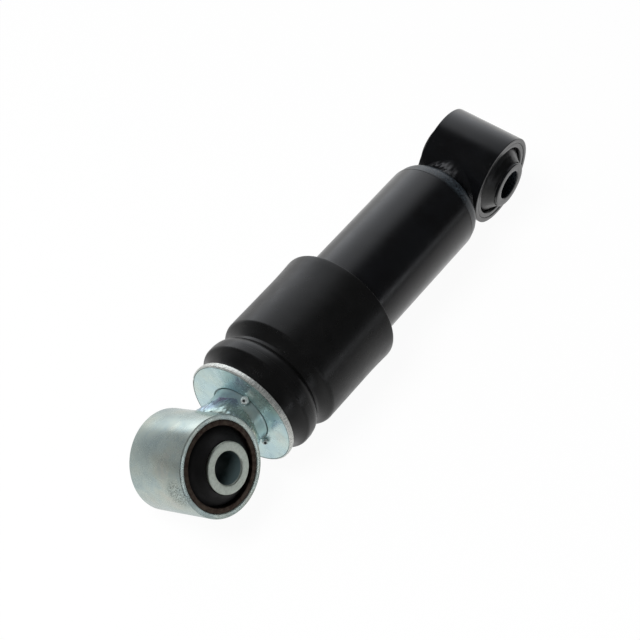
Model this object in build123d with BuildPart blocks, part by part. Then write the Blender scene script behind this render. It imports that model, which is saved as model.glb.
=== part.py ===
from build123d import *
import os
from math import asin, cos, radians, sin, sqrt

os.makedirs("parts", exist_ok=True)

# The damper lies along X. The tube eye is at the origin with its bore along Y, and the rod eye is
# at +X. All sizes are in millimetres.

# Eyes and their bushes, the same at both ends
eye_spacing = 184.0
rod_eye_turn = 32.7          # degrees that the rod eye's bore is turned from +Y towards +Z
eye_outer_r = 19.0
eye_wall = 2.0
eye_width = 29.4
eye_edge = 0.35
shell_wall = 2.3
shell_inset = 0.2            # shell's end below the eye's
shell_chamfer = 0.6
sleeve_outer_r = 9.7
sleeve_bore_r = 6.1          # clearance hole for an M12 bolt
sleeve_reach = 4.1           # sleeve's end beyond the eye's
sleeve_edge = 0.4
sleeve_clearance = 0.05      # sleeve in the rubber
rubber_groove_drop = 2.4     # groove bottom below the shell's end
rubber_groove_width = 1.4
rubber_crown_drop = 0.5      # rubber's crown below the sleeve's end

# Hub, cover plate and tack welds on the rod
hub_r = 11.85
hub_length = 8.3             # from the plate to the eye's nearest line
hub_socket_r = 5.0
hub_socket_depth = 6.5
plate_r = 23.0
plate_thickness = 2.4
plate_front_round = 0.9
plate_back_round = 0.3
tack_r = 1.5
tack_sink = 0.5
tack_angles = (76.0, 201.0, 326.0)

# Weld beads between an eye and what carries it
bead_leg = 2.4               # out from the hub
bead_reach = 3.4             # out from the eye
bead_bevel = 1.6
neck_r = 12.2                # of the weld between the tube eye and the cap
neck_flare = 2.6

# Dust boot, its retainer and the bump stop behind the plate
boot_gap = 5.65              # boot's long cylinder, outside, beyond the tube
boot_wall = 2.1
boot_flare = 0.45            # how far the mouth spreads beyond the cylinder
boot_flare_length = 14.0
boot_cylinder_length = 24.2
boot_shoulder_round = 2.0    # length of the rounding, as for the bulge
boot_shoulder_drop = 1.0     # from the cylinder to the shoulder's crease
boot_shoulder_length = 3.3
boot_shoulder_hollow = 0.45  # how far the shoulder's wall curves in from a straight cone
boot_groove_length = 1.3
boot_groove_gap = 0.8        # inside of the groove to the tube
boot_groove_wall = 1.1
boot_bulge_rise_length = 5.5
boot_bulge_reach = 1.8       # bulge beyond the plate's rim
boot_ridge_drop = 0.1        # step at the mould's parting ridge
boot_bulge_length = 2.35
boot_bulge_round = 1.25
boot_bulge_drop = 0.4        # from the bulge to its crease
boot_bulge_end_length = 6.3
boot_bulge_end_gap = 1.8     # boot's end inside the plate's rim
boot_end_wall = 2.0
retainer_collar_r = 9.0
retainer_r = 17.0
retainer_thickness = 1.2
bump_stop_r = 14.5
bump_stop_height = 6.8
bump_stop_round = 2.0
bump_travel = 8.0            # compression travel from the stored pose
stop_gap = 0.3               # left between a stop and its seat at each end of the travel

# Reservoir tube and base cap
tube_outer_r = 20.0
tube_wall = 1.6
lip_inner_r = 11.5
lip_bend_r = 2.4
cap_gap = 0.4                # cap's crown to the tube eye
cap_depth = 10.6
cap_wall = 2.6
cap_taper_length = 3.0
cap_taper_drop = 0.7
cap_crown_r = 15.6
cap_crown_depth = 3.2
cap_spigot_length = 3.0
cap_spigot_wall = 1.8

# Pressure tube, rod guide and seals
bore_r = 13.5
pressure_wall = 1.5
fit_gap = 0.05               # radial gap of a part that is pushed into a tube
guide_length = 8.0
guide_spigot = 4.0
guide_bush_wall = 0.96
guide_bush_length = 9.4
guide_throat_r = 6.6
guide_drain_r = 0.6
guide_drain_count = 4
ring_section_r = 0.85
ring_groove_width = 2.2
seal_height = 4.5
seal_rim_gap = 0.6
seal_lip_width = 0.7
seal_relief = 1.2
cover_thickness = 1.5
cover_bore_r = 7.2
cover_chamfer = 1.0

# Rod and piston
rod_r = 6.0
rod_clearance = 0.04
rod_stub_r = 4.0
piston_length = 12.0
piston_gap = 0.3
band_length = 6.6
band_thickness = 1.4
band_clearance = 0.05
band_end_gap = 0.2
piston_port_r = 1.1
piston_port_circle_r = 10.4
bleed_port_r = 0.95
bleed_port_circle_r = 6.9
port_count = 6
shim_thickness = 0.4
rebound_shim_radii = (9.1, 8.3, 7.5)
piston_nut_flats = 13.0
piston_nut_height = 6.0
intake_plate_thickness = 0.8
intake_lift = 0.8
intake_clearance = 0.08
piston_hub_r = 8.4
piston_intake_r = 12.2
stop_plate_rim = 1.4
stop_plate_thickness = 1.4
rebound_stop_r = 9.5
rebound_stop_height = 3.0
rebound_groove_depth = 0.6
rebound_groove_length = 1.6
rebound_stop_step = 1.0
buffer_r = 9.8
buffer_height = 5.0
buffer_round = 1.2

# Base valve
valve_flange_r = 16.0
valve_flange_thickness = 3.0
valve_spigot = 4.0
valve_floor_room = 12.0      # from the cap's crown, inside, to the flange
foot_inner_r = 12.0
foot_outer_r = 14.4
foot_slot_width = 6.0
foot_slot_count = 4
valve_port_r = 1.2
valve_port_circle_r = 10.4
valve_port_count = 8
valve_bleed_r = 0.8
valve_bleed_circle_r = 5.6
valve_bleed_count = 4
valve_bolt_r = 3.0
valve_head_r = 4.8
valve_head_height = 2.2
valve_nut_flats = 8.0
valve_nut_height = 3.0
valve_hub_r = 8.1
valve_intake_r = 12.6
valve_shim_radii = (7.2, 6.0)
valve_top_gap = 0.4          # piston nut to the valve's head at full compression

# Places along X, worked out from the sizes above
plate_front_x = eye_spacing - eye_outer_r - hub_length
plate_back_x = plate_front_x - plate_thickness
boot_end_x = plate_back_x - boot_end_wall
retainer_x = boot_end_x - retainer_thickness
bump_stop_x = retainer_x - bump_stop_height
tube_end_x = bump_stop_x - bump_travel - stop_gap
cover_x = tube_end_x - tube_wall - cover_thickness
seal_x = cover_x - seal_height
guide_x = seal_x - guide_length
guide_face_x = guide_x - guide_spigot

cap_crown_x = eye_outer_r + cap_gap
cap_seam_x = cap_crown_x + cap_depth
valve_flange_x = cap_crown_x + cap_wall + valve_floor_room
valve_seat_x = valve_flange_x + valve_flange_thickness
valve_face_x = valve_seat_x + valve_spigot
valve_hub_height = intake_plate_thickness + intake_lift
valve_stop_x = valve_face_x + valve_hub_height
valve_head_x = valve_stop_x + stop_plate_thickness
valve_top_x = valve_head_x + valve_head_height

nut_x = valve_top_x + valve_top_gap + bump_travel
shim_x = nut_x + piston_nut_height
piston_x = shim_x + shim_thickness * len(rebound_shim_radii)
piston_face_x = piston_x + piston_length
piston_stop_x = piston_face_x + intake_plate_thickness + intake_lift
rod_shoulder_x = piston_stop_x + stop_plate_thickness
rebound_stop_x = rod_shoulder_x + rebound_stop_step
buffer_x = rebound_stop_x + rebound_stop_height
buffer_end_x = buffer_x + buffer_height
rebound_travel = guide_face_x - buffer_end_x - stop_gap

cap_sphere_r = (cap_crown_r**2 + cap_crown_depth**2) / (2 * cap_crown_depth)
cap_sphere_x = cap_crown_x + cap_sphere_r

shell_length = eye_width - 2 * shell_inset
sleeve_length = eye_width + 2 * sleeve_reach

tube_inner_r = tube_outer_r - tube_wall
pressure_outer_r = bore_r + pressure_wall
spigot_r = bore_r - fit_gap


def finish(piece, label):
    """Label a finished piece and write it as its own STEP file."""
    piece.part.label = label
    export_step(piece.part, f"parts/{label}.step")
    return piece.part


def ring(label, start_x, end_x, inner_r, outer_r, edge=0.0):
    """A plain ring about the damper's axis, its outer edges rounded where edge is given."""
    with BuildPart() as piece:
        with BuildSketch(Plane.YZ.offset(start_x)):
            Circle(outer_r)
            Circle(inner_r, mode=Mode.SUBTRACT)
        extrude(amount=end_x - start_x)
        if edge:
            rims = piece.edges().filter_by(GeomType.CIRCLE).group_by(SortBy.RADIUS)[-1]
            fillet(rims, edge)
    return finish(piece, label)


def bore_direction(turn):
    """The direction of an eye's bore, turned by the given degrees from +Y towards +Z."""
    return Vector(0, cos(radians(turn)), sin(radians(turn)))


def eye_planes(eye_x, turn):
    """The plane across an eye's bore and the plane that holds the bore and the damper's axis."""
    bore = bore_direction(turn)
    across = Plane(origin=(eye_x, 0, 0), x_dir=(1, 0, 0), z_dir=bore)
    along = Plane(origin=(eye_x, 0, 0), x_dir=(1, 0, 0), z_dir=(0, -bore.Z, bore.Y))
    return across, along


def eye_and_bush(name, eye_x, turn):
    """An eye with its bush: outer shell, rubber and inner sleeve, all about one bore."""
    across, along = eye_planes(eye_x, turn)
    bore_axis = Axis((eye_x, 0, 0), bore_direction(turn))
    shell_outer_r = eye_outer_r - eye_wall
    shell_inner_r = shell_outer_r - shell_wall

    with BuildPart() as eye:
        with BuildSketch(across):
            Circle(eye_outer_r)
            Circle(shell_outer_r, mode=Mode.SUBTRACT)
        extrude(amount=eye_width / 2, both=True)
        chamfer(eye.edges().filter_by(GeomType.CIRCLE).group_by(SortBy.RADIUS)[-1], eye_edge)
    finish(eye, f"{name}_eye")

    with BuildPart() as shell:
        with BuildSketch(across):
            Circle(shell_outer_r)
            Circle(shell_inner_r, mode=Mode.SUBTRACT)
        extrude(amount=shell_length / 2, both=True)
        chamfer(shell.edges().filter_by(GeomType.CIRCLE).group_by(SortBy.RADIUS)[0], shell_chamfer)
    finish(shell, f"{name}_bush_shell")

    # The rubber's half section: a moulded groove beside the shell, then a cone up to the sleeve
    groove_y = shell_length / 2 - rubber_groove_drop
    crown_y = sleeve_length / 2 - rubber_crown_drop
    rubber_inner_r = sleeve_outer_r + sleeve_clearance
    with BuildPart() as rubber:
        with BuildSketch(along):
            with BuildLine():
                Polyline(
                    (rubber_inner_r, 0),
                    (shell_inner_r, 0),
                    (shell_inner_r, groove_y),
                    (shell_inner_r - rubber_groove_width, groove_y),
                )
                ThreePointArc(
                    (shell_inner_r - rubber_groove_width, groove_y),
                    (rubber_inner_r + rubber_groove_width, (groove_y + crown_y) / 2 + shell_chamfer),
                    (rubber_inner_r, crown_y),
                )
                Line((rubber_inner_r, crown_y), (rubber_inner_r, 0))
            make_face()
            mirror(about=Plane(along.origin, x_dir=along.x_dir, z_dir=along.y_dir))
        revolve(axis=bore_axis)
    finish(rubber, f"{name}_bush_rubber")

    with BuildPart() as sleeve:
        with BuildSketch(across):
            Circle(sleeve_outer_r)
            Circle(sleeve_bore_r, mode=Mode.SUBTRACT)
        extrude(amount=sleeve_length / 2, both=True)
        chamfer(sleeve.edges().filter_by(GeomType.CIRCLE), sleeve_edge)
    finish(sleeve, f"{name}_bush_sleeve")


def port_circle(start_x, length, hole_r, circle_r, count):
    """The round holes along X that are cut out of a valve part, as one tool."""
    with BuildPart() as ports:
        with BuildSketch(Plane.YZ.offset(start_x)):
            with PolarLocations(circle_r, count):
                Circle(hole_r)
        extrude(amount=length)
    return ports.part


def hex_nut(label, start_x, height, flats, hole_r):
    """A hexagon nut about the damper's axis with its corners turned down at both faces."""
    corner_r = flats / sqrt(3)
    with BuildPart() as nut:
        with BuildSketch(Plane.YZ.offset(start_x)):
            RegularPolygon(corner_r, 6)
            Circle(hole_r, mode=Mode.SUBTRACT)
        extrude(amount=height)
        # the turned blank that rounds off the corners
        bevel = corner_r - flats / 2
        with BuildSketch(Plane.XY):
            with BuildLine():
                Polyline(
                    (start_x, 0),
                    (start_x, flats / 2),
                    (start_x + bevel / 2, corner_r),
                    (start_x + height - bevel / 2, corner_r),
                    (start_x + height, flats / 2),
                    (start_x + height, 0),
                    close=True,
                )
            make_face()
        revolve(axis=Axis.X, mode=Mode.INTERSECT)
    return finish(nut, label)


def stop_plate(label, face_x, hub_r, hole_r, bleed_r, bleed_circle_r, bleed_count):
    """The flanged plate that guides an intake plate on its hub and stops its lift."""
    hub_height = intake_plate_thickness + intake_lift
    bleeds = port_circle(face_x, hub_height + stop_plate_thickness, bleed_r, bleed_circle_r, bleed_count)
    with BuildPart() as plate:
        with BuildSketch(Plane.XY):
            with BuildLine():
                Polyline(
                    (face_x, hole_r),
                    (face_x, hub_r),
                    (face_x + hub_height, hub_r),
                    (face_x + hub_height, hub_r + stop_plate_rim),
                    (face_x + hub_height + stop_plate_thickness, hub_r + stop_plate_rim),
                    (face_x + hub_height + stop_plate_thickness, hole_r),
                    close=True,
                )
            make_face()
        revolve(axis=Axis.X)
        add(bleeds, mode=Mode.SUBTRACT)
    return finish(plate, label)


def cap_outside():
    """The base cap's outside as a line: crown, corner and taper up to its seam with the tube."""
    corner = (cap_crown_x + cap_crown_depth, cap_crown_r)
    taper = (cap_seam_x - cap_taper_length, tube_outer_r - cap_taper_drop)
    slope = asin(cap_crown_r / cap_sphere_r)
    half = asin(cap_crown_r / cap_sphere_r) / 2
    middle = (cap_sphere_x - cap_sphere_r * cos(half), cap_sphere_r * sin(half))
    ThreePointArc((cap_crown_x, 0), middle, corner)
    TangentArc(corner, taper, tangent=(sin(slope), cos(slope)))
    Line(taper, (cap_seam_x, tube_outer_r))


def on_cap_inside(radius):
    """The point of the cap's inner crown at the given radius."""
    inner_r = cap_sphere_r - cap_wall
    return cap_sphere_x - sqrt(inner_r**2 - radius**2), radius


eye_and_bush("tube", 0, 0)
eye_and_bush("rod", eye_spacing, rod_eye_turn)

# Base cap: a pressed dish whose spigot stands in the reservoir tube
cap_inner_corner_r = cap_crown_r * (cap_sphere_r - cap_wall) / cap_sphere_r
cap_mouth_r = tube_inner_r - cap_spigot_wall
cap_inner_slope = asin(cap_crown_r / cap_sphere_r)
with BuildPart() as base_cap:
    with BuildSketch(Plane.XY):
        with BuildLine():
            cap_outside()
            Polyline(
                (cap_seam_x, tube_outer_r),
                (cap_seam_x, tube_inner_r),
                (cap_seam_x + cap_spigot_length, tube_inner_r),
                (cap_seam_x + cap_spigot_length, cap_mouth_r),
                (cap_seam_x - cap_taper_length / 2, cap_mouth_r),
            )
            TangentArc(
                on_cap_inside(cap_inner_corner_r),
                (cap_seam_x - cap_taper_length / 2, cap_mouth_r),
                tangent=(sin(cap_inner_slope), cos(cap_inner_slope)),
            )
            ThreePointArc(
                on_cap_inside(cap_inner_corner_r),
                on_cap_inside(cap_inner_corner_r / 2),
                on_cap_inside(0),
            )
            Line(on_cap_inside(0), (cap_crown_x, 0))
        make_face()
    revolve(axis=Axis.X)
finish(base_cap, "base_cap")

# Weld neck between the tube eye and the cap, flared where it meets the cap
neck_end_x = cap_crown_x + cap_crown_depth
with BuildPart() as tube_eye_weld:
    with BuildSketch(Plane.XY):
        with BuildLine():
            Line((0, 0), (0, neck_r))
            Line((0, neck_r), (eye_outer_r - neck_flare, neck_r))
            TangentArc(
                (eye_outer_r - neck_flare, neck_r),
                (neck_end_x, neck_r + neck_flare),
                tangent=(1, 0),
            )
            Polyline((neck_end_x, neck_r + neck_flare), (neck_end_x, 0), (0, 0))
        make_face()
    revolve(axis=Axis.X)
    with BuildSketch(eye_planes(0, 0)[0]):
        Circle(eye_outer_r)
    extrude(amount=eye_width / 2, both=True, mode=Mode.SUBTRACT)
    with BuildSketch(Plane.XY):
        with BuildLine():
            cap_outside()
            Polyline((cap_seam_x, tube_outer_r), (cap_seam_x, 0), (cap_crown_x, 0))
        make_face()
    revolve(axis=Axis.X, mode=Mode.SUBTRACT)
finish(tube_eye_weld, "tube_eye_weld")

# Reservoir tube: its far end is rolled in over the seal's cover washer
lip_inner_bend_r = lip_bend_r - tube_wall
lip_x = tube_end_x - tube_wall
with BuildPart() as reservoir_tube:
    with BuildSketch(Plane.XY):
        with BuildLine():
            Line((cap_seam_x, tube_outer_r), (tube_end_x - lip_bend_r, tube_outer_r))
            RadiusArc(
                (tube_end_x - lip_bend_r, tube_outer_r),
                (tube_end_x, tube_outer_r - lip_bend_r),
                lip_bend_r,
            )
            Polyline(
                (tube_end_x, tube_outer_r - lip_bend_r),
                (tube_end_x, lip_inner_r),
                (lip_x, lip_inner_r),
                (lip_x, tube_outer_r - lip_bend_r),
            )
            RadiusArc(
                (lip_x, tube_outer_r - lip_bend_r),
                (lip_x - lip_inner_bend_r, tube_inner_r),
                -lip_inner_bend_r,
            )
            Polyline(
                (lip_x - lip_inner_bend_r, tube_inner_r),
                (cap_seam_x, tube_inner_r),
                (cap_seam_x, tube_outer_r),
            )
        make_face()
    revolve(axis=Axis.X)
finish(reservoir_tube, "reservoir_tube")

# Pressure tube, held between the base valve and the rod guide
ring("pressure_tube", valve_seat_x, guide_x, bore_r, pressure_outer_r)

# Rod guide: flange, spigot in the pressure tube, bush pocket, ring groove and return holes
guide_bush_r = rod_r + rod_clearance + guide_bush_wall
guide_pocket_x = guide_face_x + guide_bush_length
groove_x = guide_x + guide_length / 2 - ring_groove_width / 2
groove_r = tube_inner_r - 2 * ring_section_r
drain_circle_r = (pressure_outer_r + groove_r) / 2
guide_drains = port_circle(guide_x, guide_length, guide_drain_r, drain_circle_r, guide_drain_count)
with BuildPart() as rod_guide:
    with BuildSketch(Plane.XY):
        with BuildLine():
            Polyline(
                (guide_face_x, guide_bush_r),
                (guide_face_x, spigot_r),
                (guide_x, spigot_r),
                (guide_x, tube_inner_r - fit_gap),
                (groove_x, tube_inner_r - fit_gap),
                (groove_x, groove_r),
                (groove_x + ring_groove_width, groove_r),
                (groove_x + ring_groove_width, tube_inner_r - fit_gap),
                (seal_x, tube_inner_r - fit_gap),
                (seal_x, guide_throat_r),
                (guide_pocket_x, guide_throat_r),
                (guide_pocket_x, guide_bush_r),
                close=True,
            )
        make_face()
    revolve(axis=Axis.X)
    add(guide_drains, mode=Mode.SUBTRACT)
finish(rod_guide, "rod_guide")

ring("guide_bush", guide_face_x, guide_pocket_x, rod_r + rod_clearance, guide_bush_r)

# Sealing ring in the guide's groove
with BuildPart() as guide_seal_ring:
    with BuildSketch(Plane.XY):
        with Locations((groove_x + ring_groove_width / 2, groove_r + ring_section_r)):
            Circle(ring_section_r)
    revolve(axis=Axis.X)
finish(guide_seal_ring, "guide_seal_ring")

# Rod seal with two lips on the rod and a relief between them
lip_r = rod_r + rod_clearance
seal_outer_r = tube_inner_r - seal_rim_gap
with BuildPart() as rod_seal:
    with BuildSketch(Plane.XY):
        with BuildLine():
            Polyline(
                (seal_x, seal_outer_r),
                (seal_x + seal_height, seal_outer_r),
                (seal_x + seal_height, lip_r + seal_relief),
                (seal_x + seal_height - seal_lip_width, lip_r),
                (seal_x + seal_height - 2 * seal_lip_width, lip_r),
                (seal_x + seal_height / 2, lip_r + seal_relief),
                (seal_x + 2 * seal_lip_width, lip_r),
                (seal_x + seal_lip_width, lip_r),
                (seal_x, lip_r + seal_relief),
                close=True,
            )
        make_face()
    revolve(axis=Axis.X)
finish(rod_seal, "rod_seal")

# Cover washer under the rolled lip
with BuildPart() as seal_cover:
    with BuildSketch(Plane.YZ.offset(cover_x)):
        Circle(tube_inner_r - fit_gap)
        Circle(cover_bore_r, mode=Mode.SUBTRACT)
    extrude(amount=cover_thickness)
    chamfer(seal_cover.edges().sort_by(Axis.X).group_by(Axis.X)[-1].sort_by(SortBy.RADIUS)[-1], cover_chamfer)
finish(seal_cover, "seal_cover")

# Base valve body: feet on the cap's inner crown, flange, and spigot in the pressure tube
foot_middle_r = (foot_inner_r + foot_outer_r) / 2
valve_length = valve_face_x - valve_flange_x
valve_ports = port_circle(valve_flange_x, valve_length, valve_port_r, valve_port_circle_r, valve_port_count)
valve_bleeds = port_circle(
    valve_flange_x, valve_length, valve_bleed_r, valve_bleed_circle_r, valve_bleed_count
)
with BuildPart() as base_valve_body:
    with BuildSketch(Plane.XY):
        with BuildLine():
            Polyline(
                (valve_flange_x, valve_bolt_r),
                (valve_face_x, valve_bolt_r),
                (valve_face_x, spigot_r),
                (valve_seat_x, spigot_r),
                (valve_seat_x, valve_flange_r),
                (valve_flange_x, valve_flange_r),
                (valve_flange_x, foot_outer_r),
                on_cap_inside(foot_outer_r),
            )
            ThreePointArc(
                on_cap_inside(foot_outer_r),
                on_cap_inside(foot_middle_r),
                on_cap_inside(foot_inner_r),
            )
            Polyline(
                on_cap_inside(foot_inner_r),
                (valve_flange_x, foot_inner_r),
                (valve_flange_x, valve_bolt_r),
            )
        make_face()
    revolve(axis=Axis.X)
    # slots between the feet let the oil in from the reservoir
    with BuildSketch(Plane.YZ.offset(cap_crown_x)):
        with PolarLocations(foot_middle_r, foot_slot_count):
            Rectangle(foot_outer_r - foot_inner_r + 2, foot_slot_width)
    extrude(amount=valve_flange_x - cap_crown_x, mode=Mode.SUBTRACT)
    add(valve_ports, mode=Mode.SUBTRACT)
    add(valve_bleeds, mode=Mode.SUBTRACT)
finish(base_valve_body, "base_valve_body")

for number, radius in enumerate(valve_shim_radii, start=1):
    shim_end_x = valve_flange_x - shim_thickness * (number - 1)
    ring(f"base_valve_shim_{number}", shim_end_x - shim_thickness, shim_end_x, valve_bolt_r, radius)

ring("base_intake_plate", valve_face_x, valve_face_x + intake_plate_thickness,
     valve_hub_r + intake_clearance, valve_intake_r)
stop_plate("base_valve_stop", valve_face_x, valve_hub_r, valve_bolt_r,
           valve_bleed_r, valve_bleed_circle_r, valve_bleed_count)

# Bolt through the base valve, with a domed head, and its nut
valve_nut_x = valve_flange_x - shim_thickness * len(valve_shim_radii) - valve_nut_height
with BuildPart() as base_valve_bolt:
    with BuildSketch(Plane.YZ.offset(valve_nut_x)):
        Circle(valve_bolt_r)
    extrude(amount=valve_head_x - valve_nut_x)
    with BuildSketch(Plane.YZ.offset(valve_head_x)):
        Circle(valve_head_r)
    extrude(amount=valve_head_height)
    fillet(base_valve_bolt.edges().group_by(Axis.X)[-1], valve_head_height / 2)
finish(base_valve_bolt, "base_valve_bolt")
hex_nut("base_valve_nut", valve_nut_x, valve_nut_height, valve_nut_flats, valve_bolt_r)

# Piston with a groove for its band and two circles of ports
band_outer_r = bore_r - band_clearance
band_inner_r = band_outer_r - band_thickness
band_x = piston_x + (piston_length - band_length) / 2
piston_r = bore_r - piston_gap
piston_ports = port_circle(piston_x, piston_length, piston_port_r, piston_port_circle_r, port_count)
piston_bleeds = port_circle(piston_x, piston_length, bleed_port_r, bleed_port_circle_r, port_count)
with BuildPart() as piston:
    with BuildSketch(Plane.XY):
        with BuildLine():
            Polyline(
                (piston_x, rod_stub_r),
                (piston_x, piston_r),
                (band_x - band_end_gap, piston_r),
                (band_x - band_end_gap, band_inner_r - band_clearance),
                (band_x + band_length + band_end_gap, band_inner_r - band_clearance),
                (band_x + band_length + band_end_gap, piston_r),
                (piston_face_x, piston_r),
                (piston_face_x, rod_stub_r),
                close=True,
            )
        make_face()
    revolve(axis=Axis.X)
    add(piston_ports, mode=Mode.SUBTRACT)
    add(piston_bleeds, mode=Mode.SUBTRACT)
finish(piston, "piston")

ring("piston_band", band_x, band_x + band_length, band_inner_r, band_outer_r)

for number, radius in enumerate(rebound_shim_radii, start=1):
    shim_end_x = piston_x - shim_thickness * (number - 1)
    ring(f"rebound_shim_{number}", shim_end_x - shim_thickness, shim_end_x, rod_stub_r, radius)

hex_nut("piston_nut", nut_x, piston_nut_height, piston_nut_flats, rod_stub_r)
ring("piston_intake_plate", piston_face_x, piston_face_x + intake_plate_thickness,
     piston_hub_r + intake_clearance, piston_intake_r)
stop_plate("piston_stop", piston_face_x, piston_hub_r, rod_stub_r,
           bleed_port_r, bleed_port_circle_r, port_count)

# Piston rod: stub through the piston, groove for the rebound stop, and the end in the hub
rebound_groove_x = rebound_stop_x + (rebound_stop_height - rebound_groove_length) / 2
rebound_groove_r = rod_r - rebound_groove_depth
with BuildPart() as piston_rod:
    with BuildSketch(Plane.XY):
        with BuildLine():
            Polyline(
                (nut_x, 0),
                (nut_x, rod_stub_r),
                (rod_shoulder_x, rod_stub_r),
                (rod_shoulder_x, rod_r),
                (rebound_groove_x, rod_r),
                (rebound_groove_x, rebound_groove_r),
                (rebound_groove_x + rebound_groove_length, rebound_groove_r),
                (rebound_groove_x + rebound_groove_length, rod_r),
                (plate_front_x, rod_r),
                (plate_front_x, hub_socket_r),
                (plate_front_x + hub_socket_depth, hub_socket_r),
                (plate_front_x + hub_socket_depth, 0),
                close=True,
            )
        make_face()
    revolve(axis=Axis.X)
finish(piston_rod, "piston_rod")

# Rebound stop ring, pressed into the rod's groove, and its buffer
with BuildPart() as rebound_stop:
    with BuildSketch(Plane.XY):
        with BuildLine():
            Polyline(
                (rebound_stop_x, rod_r),
                (rebound_stop_x, rebound_stop_r),
                (buffer_x, rebound_stop_r),
                (buffer_x, rod_r),
                (rebound_groove_x + rebound_groove_length, rod_r),
                (rebound_groove_x + rebound_groove_length, rebound_groove_r),
                (rebound_groove_x, rebound_groove_r),
                (rebound_groove_x, rod_r),
                close=True,
            )
        make_face()
    revolve(axis=Axis.X)
finish(rebound_stop, "rebound_stop")
ring("rebound_buffer", buffer_x, buffer_end_x, rod_r, buffer_r, buffer_round)

# Bump stop and the flanged washer that clamps the boot's end wall against the plate
ring("bump_stop", bump_stop_x, retainer_x, rod_r, bump_stop_r, bump_stop_round)
with BuildPart() as boot_retainer:
    with BuildSketch(Plane.XY):
        with BuildLine():
            Polyline(
                (retainer_x, rod_r),
                (retainer_x, retainer_r),
                (boot_end_x, retainer_r),
                (boot_end_x, retainer_collar_r),
                (plate_back_x, retainer_collar_r),
                (plate_back_x, rod_r),
                close=True,
            )
        make_face()
    revolve(axis=Axis.X)
finish(boot_retainer, "boot_retainer")

# Cover plate with a softly rounded front rim
with BuildPart() as cover_plate:
    with BuildSketch(Plane.YZ.offset(plate_back_x)):
        Circle(plate_r)
        Circle(rod_r, mode=Mode.SUBTRACT)
    extrude(amount=plate_thickness)
    rims = cover_plate.edges().filter_by(GeomType.CIRCLE).group_by(SortBy.RADIUS)[-1]
    fillet(rims.sort_by(Axis.X)[-1], plate_front_round)
    fillet(cover_plate.edges().group_by(Axis.X)[0].sort_by(SortBy.RADIUS)[-1], plate_back_round)
finish(cover_plate, "cover_plate")

# Hub: a boss with a blind socket for the rod's end, saddled to the rod eye
rod_across, rod_along = eye_planes(eye_spacing, rod_eye_turn)
with BuildPart() as rod_hub:
    with BuildSketch(Plane.YZ.offset(plate_front_x)):
        Circle(hub_r)
    extrude(amount=eye_spacing - plate_front_x)
    with BuildSketch(Plane.YZ.offset(plate_front_x)):
        Circle(hub_socket_r)
    extrude(amount=hub_socket_depth, mode=Mode.SUBTRACT)
    with BuildSketch(rod_across):
        Circle(eye_outer_r)
    extrude(amount=eye_width / 2, both=True, mode=Mode.SUBTRACT)
finish(rod_hub, "rod_hub")

# Weld bead round the hub's saddle
with BuildPart() as rod_eye_weld:
    with BuildSketch(Plane.YZ.offset(plate_front_x)):
        Circle(hub_r + bead_leg)
    extrude(amount=eye_spacing - plate_front_x)
    with BuildSketch(rod_across):
        Circle(eye_outer_r + bead_reach)
    extrude(amount=eye_width / 2, both=True, mode=Mode.INTERSECT)
    saddle = rod_eye_weld.edges().filter_by(lambda edge: edge.center().X < eye_spacing - bead_reach)
    chamfer(saddle, bead_bevel)
    with BuildSketch(Plane.YZ.offset(plate_front_x)):
        Circle(hub_r)
    extrude(amount=eye_spacing - plate_front_x, mode=Mode.SUBTRACT)
    with BuildSketch(rod_across):
        Circle(eye_outer_r)
    extrude(amount=eye_width / 2, both=True, mode=Mode.SUBTRACT)
finish(rod_eye_weld, "rod_eye_weld")

# Tack welds between the hub and the plate
for number, angle in enumerate(tack_angles, start=1):
    reach = hub_r + tack_r - tack_sink
    middle = (
        plate_front_x + tack_r - tack_sink,
        reach * cos(radians(angle)),
        reach * sin(radians(angle)),
    )
    with BuildPart() as tack:
        with Locations(middle):
            Sphere(tack_r)
        with BuildSketch(Plane.YZ.offset(plate_front_x)):
            Circle(hub_r)
        extrude(amount=hub_length, mode=Mode.SUBTRACT)
        with BuildSketch(Plane.YZ.offset(plate_back_x)):
            Circle(plate_r)
        extrude(amount=plate_thickness, mode=Mode.SUBTRACT)
    finish(tack, f"tack_weld_{number}")

# Dust boot: end wall, bulge, narrow groove, shoulder and the long cylinder that flares to its mouth
cylinder_r = tube_outer_r + boot_gap
open_r = cylinder_r + boot_flare
shoulder_r = cylinder_r - boot_shoulder_drop
groove_inner_r = tube_outer_r + boot_groove_gap
groove_outer_r = groove_inner_r + boot_groove_wall
bulge_r = plate_r + boot_bulge_reach
crease_r = bulge_r - boot_bulge_drop
bulge_end_r = plate_r - boot_bulge_end_gap
bulge_end_x = boot_end_x + boot_end_wall
crease_x = bulge_end_x - boot_bulge_end_length
bulge_x = crease_x - boot_bulge_round
ridge_x = bulge_x - boot_bulge_length
groove_end_x = ridge_x - boot_bulge_rise_length
groove_start_x = groove_end_x - boot_groove_length
shoulder_x = groove_start_x - boot_shoulder_length
cylinder_end_x = shoulder_x - boot_shoulder_round
flare_x = cylinder_end_x - boot_cylinder_length
open_x = flare_x - boot_flare_length
shoulder_middle = (
    (shoulder_x + groove_start_x) / 2,
    (shoulder_r + groove_outer_r) / 2 - boot_shoulder_hollow,
)
boot_lip = boot_wall / 2
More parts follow.
